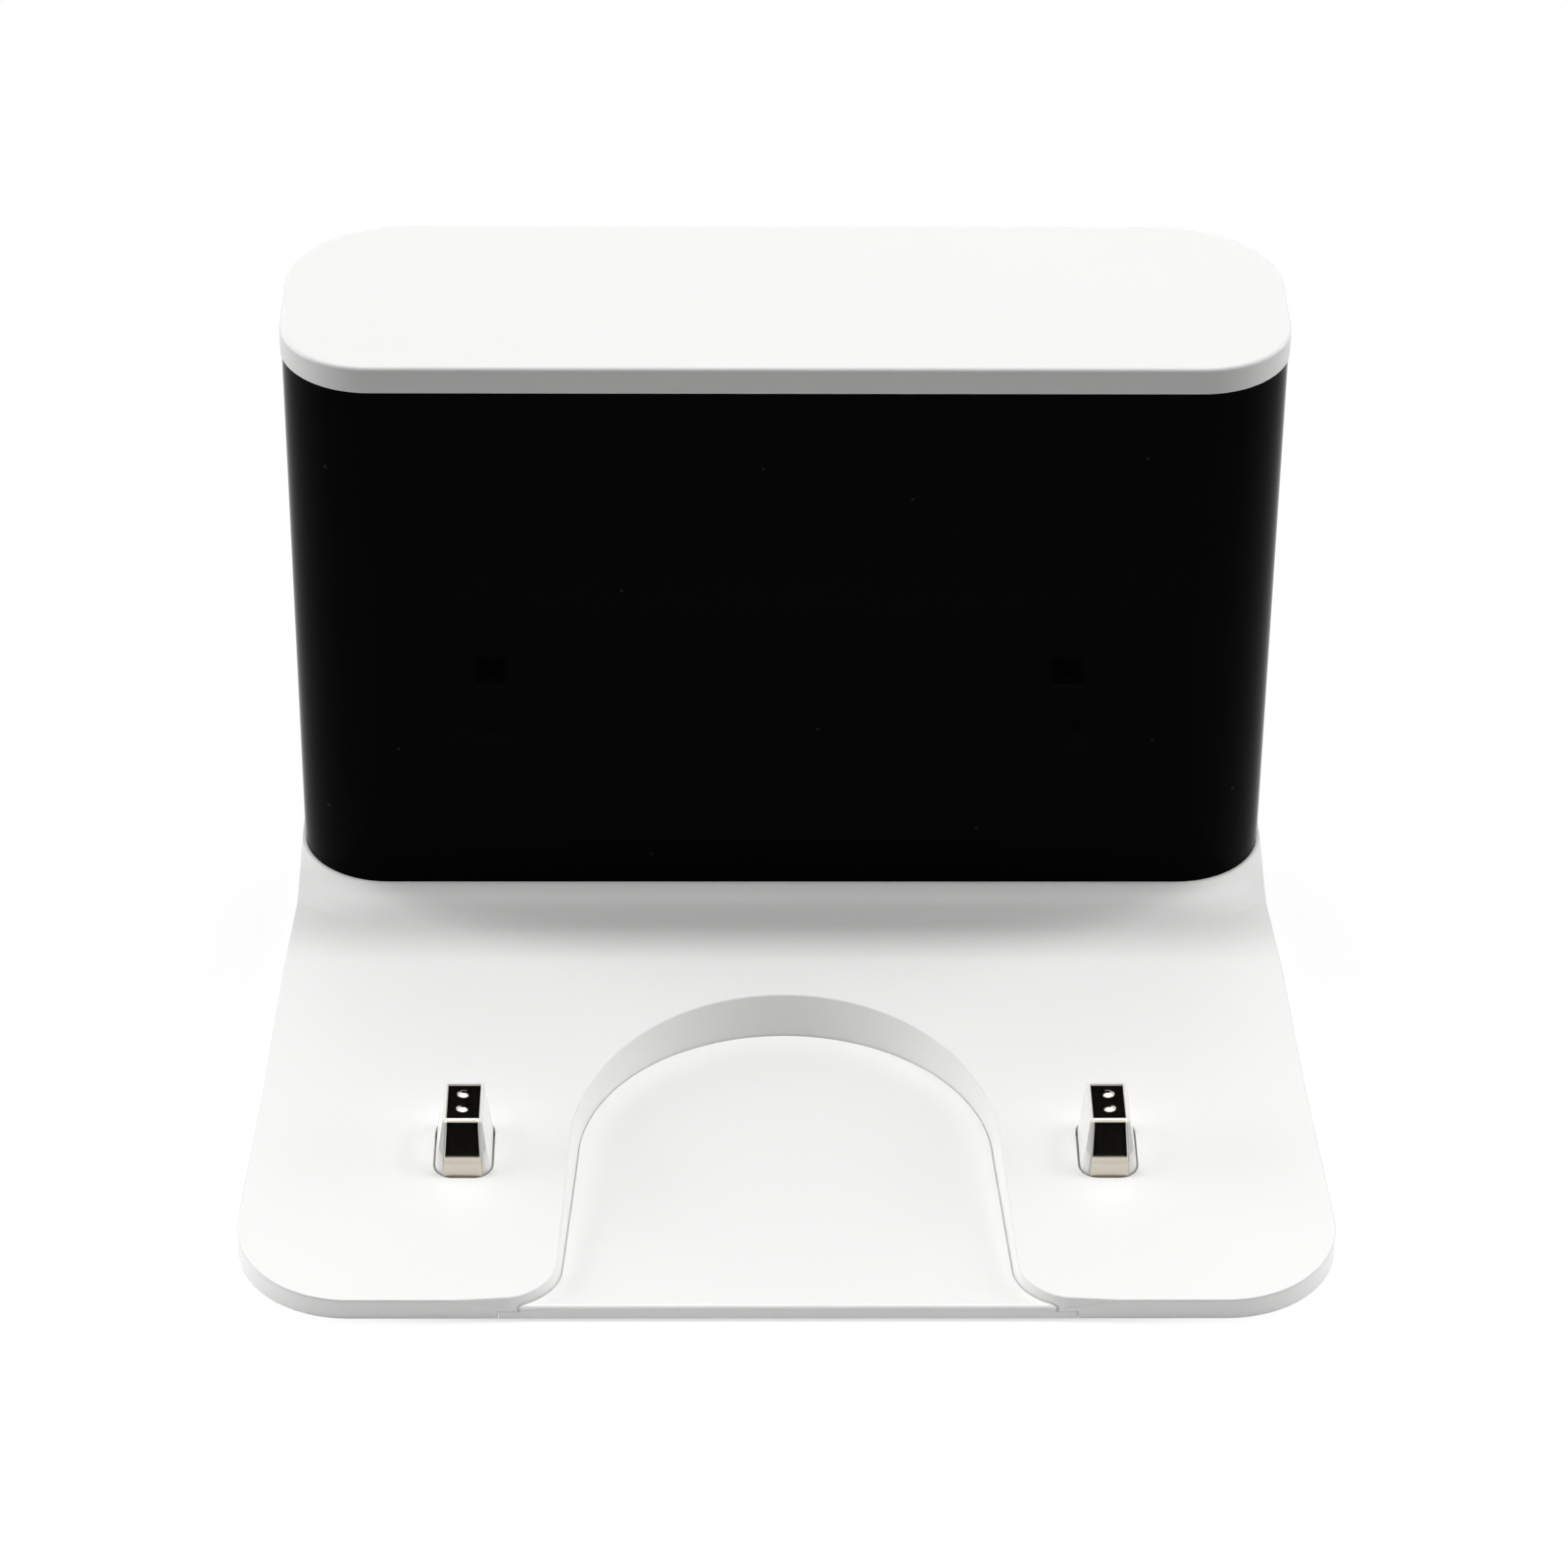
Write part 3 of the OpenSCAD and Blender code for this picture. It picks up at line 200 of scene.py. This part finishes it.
cells = add(panel, "TexVoronoi", {"Vector": front.outputs["Vector"], "Scale": 1 / dust_cell},
            voronoi_dimensions="2D")
speck = add(panel, "MapRange", {
    "Value": cells.outputs["Distance"], "From Min": speck_rim, "From Max": speck_core,
    "To Min": 0, "To Max": 1,
})
tone = add(panel, "Mix", {"Factor": speck.outputs["Result"]}, data_type="RGBA")
tone.inputs[6].default_value = linear("040405")
tone.inputs[7].default_value = linear("26282a")
shader = add(panel, "BsdfPrincipled", {
    "Base Color": tone.outputs[2], "Roughness": 0.05, "IOR": 1.58, "Specular IOR Level": 0.012,
    "Normal": skin.outputs["Normal"],
})
add(panel, "OutputMaterial", {"Surface": shader.outputs["BSDF"]})
dress(panel, "front_panel")


# Rear shell. White ABS with the lead bay and its two cleats moulded in, and screwed to the base.
# It comes from a coarser tool than the base, so it is a little duller.
coarse_abs = pitted_skin("coarse_white_abs", "f1f1f0", "ecedec", roughness=0.50,
                         grain=0.45 * MM, depth=0.012 * MM, edge=0.35 * MM)
dress(coarse_abs, "rear_shell")


# Top cap. An ABS lid that snaps over the tower. It is moulded in a finer tool than the base, so
# it is satin and smooth to the hand. Its white is painted darker than the base's. This is painted
# shade, so that its brightly lit top and its front render darker.
shaded_cap_abs = pitted_skin("satin_white_abs_painted_shade", "e3e3e2", "e0e0df", roughness=0.36,
                      grain=0.3 * MM, depth=0.003 * MM, edge=0.25 * MM, specular=0.3)
dress(shaded_cap_abs, "top_cap")


# Mains inlet. A moulded block of black glass-filled nylon, which the lead's socket slides over.
# The glass gives the nylon a dull, slightly uneven face.
black_nylon = pitted_skin("glass_filled_black_nylon", "17181a", "101113", roughness=0.55,
                          grain=0.6 * MM, depth=0.01 * MM, edge=0.2 * MM)
dress(black_nylon, "mains_inlet")


# Inlet pins. Two drawn pins of nickel-plated brass, pressed into the nylon block. The fine
# lines of the drawing die show in their warm grey gloss.
def drawn_metal(name, code, roughness, streak):
    """A bright metal with the fine lines that its die, rolls or punch left, a streak apart."""
    duller, brighter, line_depth = 1.25, 0.8, 0.002 * MM
    material = new_material(name)
    place = add(material, "TexCoord").outputs["Object"]
    lines = add(material, "TexNoise", {
        "Vector": place, "Scale": 1 / streak, "Detail": 3, "Distortion": 0.2,
    })
    gloss = add(material, "MapRange", {
        "Value": lines.outputs["Fac"], "From Min": noise_low, "From Max": noise_high,
        "To Min": roughness * brighter, "To Max": roughness * duller,
    })
    skin = add(material, "Bump", {"Height": lines.outputs["Fac"], "Distance": line_depth})
    shader = add(material, "BsdfPrincipled", {
        "Base Color": linear(code), "Metallic": 1, "Roughness": gloss.outputs["Result"],
        "Normal": skin.outputs["Normal"],
    })
    add(material, "OutputMaterial", {"Surface": shader.outputs["BSDF"]})
    return material


pin_nickel = drawn_metal("nickel_plated_brass", "cfc8bc", roughness=0.18, streak=0.6 * MM)
dress(pin_nickel, "inlet_pins")


# Charging strips. Each is a strip of spring bronze, folded over its plunger and plated with
# nickel. A punch has raised two dimples on its top. The robot's contacts keep the top bright,
# so it mirrors the black panel, while the foot is duller.
strip_top = 12.4 * MM
strip_knee = 7.2 * MM
strip_lean = math.tan(math.radians(27))
strip_thick = 0.4 * MM
knee_radius, fold_radius = 4 * MM, 0.8 * MM
tail_drop, tail_length = 1.9 * MM, 4.5 * MM
top_width, foot_width = 4.6 * MM, 5.4 * MM
taper_foot, taper_top = 5.2 * MM, 11.4 * MM
dimple_places = (2.75 * MM, 6.05 * MM)
dimple_radius, dimple_height = 1.05 * MM, 0.32 * MM
punch_radius, punch_depth = 0.3 * MM, 0.06 * MM
grid_step, grid_columns, fold_steps = 0.15 * MM, 32, 12


def folded_path(corners):
    """Even points along a path through corners, each a place and the radius of its fold."""
    path = [corners[0][0]]
    for (before, _), (here, radius), (after, _) in zip(corners, corners[1:], corners[2:]):
        back, ahead = (before - here).normalized(), (after - here).normalized()
        half = back.angle(ahead) / 2
        centre = here + (back + ahead).normalized() * radius / math.sin(half)
        start, end = (here + way * radius / math.tan(half) - centre for way in (back, ahead))
        path += [centre + start.slerp(end, step / fold_steps).normalized() * radius
                 for step in range(fold_steps + 1)]
    path.append(corners[-1][0])
    even = path[:1]
    for point in path[1:]:
        steps = max(1, round((point - even[-1]).length / grid_step))
        even += [even[-1].lerp(point, step / steps) for step in range(1, steps + 1)]
    return even


def pressed(distance, radius):
    """The share of a punch's full depth that the plate has at a distance from its centre."""
    return max(0, 1 - (distance / radius) ** 2) ** 2


line_size, line_depth, line_gloss = 0.5 * MM, 0.002 * MM, 0.05
worn_from, worn_to = 5.5 * MM, 8.2 * MM
foot_roughness, top_roughness = 0.34, 0.09
strip_nickel = new_material("nickel_plated_bronze")
place = add(strip_nickel, "TexCoord").outputs["Object"]
lines = add(strip_nickel, "TexNoise", {
    "Vector": place, "Scale": 1 / line_size, "Detail": 3, "Distortion": 0.2,
})
height = add(strip_nickel, "SeparateXYZ", {"Vector": place}).outputs["Z"]
worn = add(strip_nickel, "MapRange", {
    "Value": height, "From Min": worn_from, "From Max": worn_to,
    "To Min": foot_roughness, "To Max": top_roughness,
})
gloss = add(strip_nickel, "Math", {
    0: lines.outputs["Fac"], 1: line_gloss, 2: worn.outputs["Result"],
}, operation="MULTIPLY_ADD")
skin = add(strip_nickel, "Bump", {"Height": lines.outputs["Fac"], "Distance": line_depth})
shader = add(strip_nickel, "BsdfPrincipled", {
    "Base Color": linear("d2cbbf"), "Metallic": 1, "Roughness": gloss.outputs[0],
    "Normal": skin.outputs["Normal"],
})
add(strip_nickel, "OutputMaterial", {"Surface": shader.outputs["BSDF"]})

for side in ("left", "right"):
    low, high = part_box(side + "_contact_strip")
    middle, front, tail, foot = (low[0] + high[0]) / 2, low[1], high[1], low[2]
    brow = front + (strip_top - strip_knee) * strip_lean
    fold = strip_top - tail_drop
    path = folded_path([
        (Vector((0, front, foot)), 0),
        (Vector((0, front, strip_knee)), knee_radius),
        (Vector((0, brow, strip_top)), fold_radius),
        (Vector((0, tail, strip_top)), fold_radius),
        (Vector((0, tail, fold)), fold_radius),
        (Vector((0, tail - tail_length, fold)), 0),
    ])
    last = len(path) - 1
    shape = bmesh.new()
    bmesh.ops.create_grid(shape, x_segments=grid_columns, y_segments=last, size=0.5)
    for point in shape.verts:
        across, along = point.co.x, path[round((point.co.y + 0.5) * last)]
        narrow = min(1, max(0, (along.z - taper_foot) / (taper_top - taper_foot)))
        width = foot_width + (top_width - foot_width) * narrow
        point.co = (across * width, along.y, along.z)
        if along.z > strip_top - strip_thick / 2:
            for behind_brow in dimple_places:
                distance = math.hypot(point.co.x, along.y - brow - behind_brow)
                point.co.z += (dimple_height * pressed(distance, dimple_radius)
                               - punch_depth * pressed(distance, punch_radius))
    bmesh.ops.translate(shape, vec=(middle, 0, 0), verts=shape.verts)
    for face in shape.faces:
        face.smooth = True
    name = side + "_charging_strip"
    strip = bpy.data.objects.new(name, bpy.data.meshes.new(name))
    shape.to_mesh(strip.data)
    shape.free()
    bpy.context.scene.collection.objects.link(strip)
    sheet = strip.modifiers.new("sheet", "SOLIDIFY")
    sheet.thickness, sheet.offset = strip_thick, -1
    strip.data.materials.append(strip_nickel)
    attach(strip, side + "_contact")
    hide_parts(side + "_contact_strip")


# Plungers. White acetal mouldings that slide in the slots of the legs and carry the strips.
# Acetal is slick, so it has an even, slightly waxy gloss.
acetal = pitted_skin("white_acetal", "f3f3f0", "efefec", roughness=0.30,
                     grain=0.4 * MM, depth=0.002 * MM, edge=0.3 * MM, ior=1.48)
dress(acetal, "left_contact_carrier", "right_contact_carrier")


# Springs. A coil of drawn music wire presses each contact up. Its end turns lie flat. The wire is
# a bright grey.
wire_radius, wire_sides = 0.25 * MM, 12
end_turns, free_turns, turn_steps = 0.75, 4, 24
quarter_turn = Matrix.Rotation(math.radians(90), 3, "X")
wire_steel = drawn_metal("music_wire", "a9abad", roughness=0.25, streak=0.3 * MM)

for side in ("left", "right"):
    low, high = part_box(side + "_contact_spring")
    middle = Vector(((low[0] + high[0]) / 2, (low[1] + high[1]) / 2, 0))
    radius = (high[0] - low[0]) / 2 - wire_radius
    rise = high[2] - low[2] - 2 * wire_radius
    start = middle + Vector((radius, 0, low[2] + wire_radius))
    shape = bmesh.new()
    bmesh.ops.create_circle(shape, segments=wire_sides, radius=wire_radius)
    bmesh.ops.rotate(shape, cent=(0, 0, 0), matrix=quarter_turn, verts=shape.verts)
    bmesh.ops.translate(shape, vec=start, verts=shape.verts)
    end = shape.verts[:] + shape.edges[:]
    for turns, climb in ((end_turns, 0), (free_turns, rise), (end_turns, 0)):
        steps = round(turns * turn_steps)
        end = bmesh.ops.spin(shape, geom=end, cent=middle, axis=(0, 0, 1),
                             dvec=(0, 0, climb / steps), angle=math.tau * turns,
                             steps=steps)["geom_last"]
    rims = [edge for edge in shape.edges if edge.is_boundary]
    bmesh.ops.holes_fill(shape, edges=rims, sides=wire_sides)
    bmesh.ops.recalc_face_normals(shape, faces=shape.faces)
    for face in shape.faces:
        face.smooth = len(face.verts) == 4
    name = side + "_coil_spring"
    spring = bpy.data.objects.new(name, bpy.data.meshes.new(name))
    shape.to_mesh(spring.data)
    shape.free()
    bpy.context.scene.collection.objects.link(spring)
    spring.data.materials.append(wire_steel)
    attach(spring, "dock")
    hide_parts(side + "_contact_spring")
    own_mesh(spring)


# Terminals. Stamped brass plates in pockets of the cover, which the springs stand on, each with
# its lead crimped to it. Brass is a soft yellow, with the lines of the rolled sheet.
brass = drawn_metal("stamped_brass", "d4b26a", roughness=0.28, streak=0.4 * MM)
dress(brass, "left_contact_terminal", "right_contact_terminal")


# Circuit boards. Glass-epoxy boards, screwed inside the tower, with a printed and baked solder
# mask. The mask gives them a smooth green gloss.
solder_mask = pitted_skin("solder_mask_green", "1f6a40", "1a5a36", roughness=0.35,
                          grain=1.2 * MM, depth=0.01 * MM, edge=0.1 * MM, ior=1.5)
dress(solder_mask, "power_board", "beacon_board")


# Transformer. Two halves of pressed and sintered ferrite round a wound bobbin, soldered to the
# board. Ferrite is dark grey and dull.
ferrite = pitted_skin("sintered_ferrite", "2f2e2c", "262523", roughness=0.7,
                      grain=0.3 * MM, depth=0.02 * MM, edge=0.1 * MM)
dress(ferrite, "transformer")


# Capacitor cans. Aluminium cans, soldered to the board, in a dark blue sleeve that was shrunk on
# with heat. The sleeve is smooth and glossy.
can_sleeve = pitted_skin("heat_shrunk_sleeve", "24304c", "1e2942", roughness=0.3,
                         grain=1.5 * MM, depth=0.01 * MM, edge=0.2 * MM)
dress(can_sleeve, "bulk_capacitors", "output_capacitors")


# Line choke. Enamelled copper wire, wound by machine and soldered to the board. The clear enamel
# keeps the copper a bright reddish brown.
winding = drawn_metal("enamelled_copper_wire", "b4673a", roughness=0.3, streak=0.4 * MM)
dress(winding, "line_choke")


# Noise capacitor. Metallised film, cast with resin into a yellow box and soldered to the board.
# The moulded box is smooth, with little gloss.
film_case = pitted_skin("yellow_film_case", "d8bd45", "cfb33c", roughness=0.35,
                        grain=0.8 * MM, depth=0.005 * MM, edge=0.3 * MM)
dress(film_case, "noise_capacitor")


# Fuse and rectifier. Small parts, soldered to the board, with bodies of transfer-moulded black
# epoxy, which is charcoal and nearly dull.
dark_epoxy = pitted_skin("moulded_black_epoxy", "1c1c1e", "161618", roughness=0.5,
                         grain=0.4 * MM, depth=0.01 * MM, edge=0.1 * MM)
dress(dark_epoxy, "mains_fuse", "bridge_rectifier")


# Heat sink. A sawn length of extruded aluminium, soldered to the board by its pegs. The die
# leaves fine lines in the pale grey metal.
aluminium = drawn_metal("extruded_aluminium", "c3c6c8", roughness=0.35, streak=0.5 * MM)
dress(aluminium, "heat_sink")


# Connector. A housing moulded from nylon without dye, soldered to the board for the contacts'
# leads. It is creamy and slightly dull.
nylon = pitted_skin("natural_nylon", "e9e6dc", "e2dfd4", roughness=0.45,
                    grain=0.5 * MM, depth=0.004 * MM, edge=0.2 * MM, ior=1.53)
dress(nylon, "contact_connector")


# Beacon. Infrared emitters and a status light, cast in smooth epoxy lenses, on their board behind
# the panel. The hood round them is the inlet's black nylon. The emitters' epoxy is smoked, and
# the light's is clear.
smoked_epoxy = pitted_skin("smoked_epoxy_lens", "2b2236", "241c2e", roughness=0.08,
                           grain=2 * MM, depth=0.001 * MM, edge=0.2 * MM)
dress(smoked_epoxy, "infrared_emitters")
clear_epoxy = pitted_skin("clear_epoxy_lens", "e6e8e6", "dfe2e0", roughness=0.08,
                          grain=2 * MM, depth=0.001 * MM, edge=0.2 * MM)
dress(clear_epoxy, "status_light")
dress(black_nylon, "beacon_hood")


# Leads. Stranded copper in extruded vinyl, soldered or crimped at its ends and laid along the
# walls. Vinyl is soft and evenly satin, and each lead has its own colour.
for name, colour, light, dark in (
        ("left_contact_lead", "black", "1c1f24", "181a1f"),
        ("right_contact_lead", "red", "a8242a", "9c2025"),
        ("inlet_leads", "brown", "5a3b22", "50341d"),
        ("beacon_harness", "grey", "d9d9d4", "d0d0ca")):
    vinyl = pitted_skin("extruded_" + colour + "_vinyl", light, dark, roughness=0.45,
                        grain=0.6 * MM, depth=0.004 * MM, edge=0.2 * MM)
    dress(vinyl, name)


# Floor. Plain white paper under the dock. The colour it bounces is painted: near white close by
# and grey further away, a painted pool of light as under a lit table. It shows white, and the
# dock's shadow on it is softened close by and fades out further away, as in the photograph.
floor_reach = 3
pool_edge = (130 * MM, 240 * MM)
shadow_edge = (74 * MM, 92 * MM)
shadow_share = 0.35
floor = bpy.data.objects.new("floor", bpy.data.meshes.new("floor"))
shape = bmesh.new()
bmesh.ops.create_grid(shape, x_segments=1, y_segments=1, size=floor_reach)
shape.to_mesh(floor.data)
shape.free()
bpy.context.scene.collection.objects.link(floor)


def seen(material):
    """One where the camera, a reflection or a clear part looks, and zero for light that
    bounces."""
    path = add(material, "LightPath").outputs
    first = add(material, "Math", {0: path["Is Camera Ray"], 1: path["Is Glossy Ray"]},
                operation="MAXIMUM")
    return add(material, "Math", {0: first.outputs[0], 1: path["Is Transmission Ray"]},
               operation="MAXIMUM").outputs[0]


paper = new_material("white_studio_paper")
place = add(paper, "TexCoord").outputs["Object"]
distance = add(paper, "VectorMath", {0: place}, operation="LENGTH")
beyond = add(paper, "MapRange", {
    "Value": distance.outputs["Value"], "From Min": pool_edge[0], "From Max": pool_edge[1],
})
# Painted pool of light: the colour for bounced light is near white close by and grey further out.
tone = add(paper, "Mix", {"Factor": beyond.outputs["Result"]}, data_type="RGBA")
tone.inputs[6].default_value = linear("fcfcfc")
tone.inputs[7].default_value = linear("898989")
bounce = add(paper, "BsdfDiffuse", {"Color": tone.outputs[2]})
lit = add(paper, "BsdfDiffuse", {"Color": linear("ffffff")})
white = add(paper, "Emission", {"Color": linear("ffffff"), "Strength": 1})
kept = add(paper, "MapRange", {
    "Value": distance.outputs["Value"], "From Min": shadow_edge[0], "From Max": shadow_edge[1],
    "To Min": shadow_share, "To Max": 0,
})
shown = add(paper, "MixShader", {
    0: kept.outputs["Result"], 1: white.outputs[0], 2: lit.outputs[0],
})
surface = add(paper, "MixShader", {0: seen(paper), 1: bounce.outputs[0], 2: shown.outputs[0]})
add(paper, "OutputMaterial", {"Surface": surface.outputs[0]})
floor.data.materials.append(paper)


# World. It is white where it shows or is mirrored, and gives the dock very little light.
room_light = 0.02
world = bpy.data.worlds.new("studio")
world.use_nodes = True
world.node_tree.nodes.clear()
room = add(world, "Background", {"Color": linear("ffffff"), "Strength": room_light})
backdrop = add(world, "Background", {"Color": linear("ffffff"), "Strength": 1})
mix = add(world, "MixShader", {0: seen(world), 1: room.outputs[0], 2: backdrop.outputs[0]})
add(world, "OutputWorld", {"Surface": mix.outputs[0]})
bpy.context.scene.world = world


# Softboxes. The narrow key hangs a little behind the dock, which gives the short shadow under
# the front panel. One over the dock and one behind it fill that shadow, and a low and a high one
# on each side light the ramp, the legs and the tower's sides.
lamp_distance = 1
lamp_aim = Vector((0, 0, 30 * MM))


def softbox(name, bearing, elevation, size, watts):
    """A soft lamp that points at the dock. The bearing is 0 in front and 90 to the right."""
    lamp = bpy.data.lights.new(name, "AREA")
    lamp.shape = "RECTANGLE"
    lamp.size, lamp.size_y = size
    lamp.energy = watts
    bearing, elevation = math.radians(bearing), math.radians(elevation)
    away = Vector((math.sin(bearing) * math.cos(elevation),
                   -math.cos(bearing) * math.cos(elevation),
                   math.sin(elevation)))
    turn = away.to_track_quat("Z", "Y").to_matrix().to_4x4()
    holder = bpy.data.objects.new(name, lamp)
    holder.matrix_world = Matrix.Translation(lamp_aim + away * lamp_distance) @ turn
    bpy.context.scene.collection.objects.link(holder)


softbox("key_softbox", bearing=180, elevation=81.4, size=(0.9, 0.09), watts=4.6)
softbox("overhead_softbox", bearing=0, elevation=90, size=(0.5, 0.1), watts=2.1)
softbox("back_softbox", bearing=180, elevation=57, size=(0.9, 0.3), watts=0.9)
softbox("left_softbox", bearing=-98, elevation=12, size=(0.9, 0.3), watts=4.9)
softbox("right_softbox", bearing=98, elevation=12, size=(0.9, 0.3), watts=3.7)
softbox("upper_left_softbox", bearing=-100, elevation=50, size=(0.6, 0.3), watts=1.7)
softbox("upper_right_softbox", bearing=100, elevation=50, size=(0.6, 0.3), watts=2.3)


# Flag. A black card that stands in front of the dock. Only reflections see it: it is what the
# slanted faces of the bright strips mirror.
flag_reach = 0.3
flag_place = (0, -1, 0.4)
upright_turn = Matrix.Rotation(math.radians(90), 3, "X")
flag = bpy.data.objects.new("flag", bpy.data.meshes.new("flag"))
shape = bmesh.new()
bmesh.ops.create_grid(shape, x_segments=1, y_segments=1, size=flag_reach)
bmesh.ops.rotate(shape, cent=(0, 0, 0), matrix=upright_turn, verts=shape.verts)
bmesh.ops.translate(shape, vec=flag_place, verts=shape.verts)
shape.to_mesh(flag.data)
shape.free()
bpy.context.scene.collection.objects.link(flag)
card = new_material("black_card")
dull_black = add(card, "BsdfDiffuse", {"Color": linear("020202")})
add(card, "OutputMaterial", {"Surface": dull_black.outputs["BSDF"]})
flag.data.materials.append(card)
flag.visible_camera = flag.visible_diffuse = flag.visible_shadow = False

bpy.context.scene.view_settings.view_transform = "Standard"
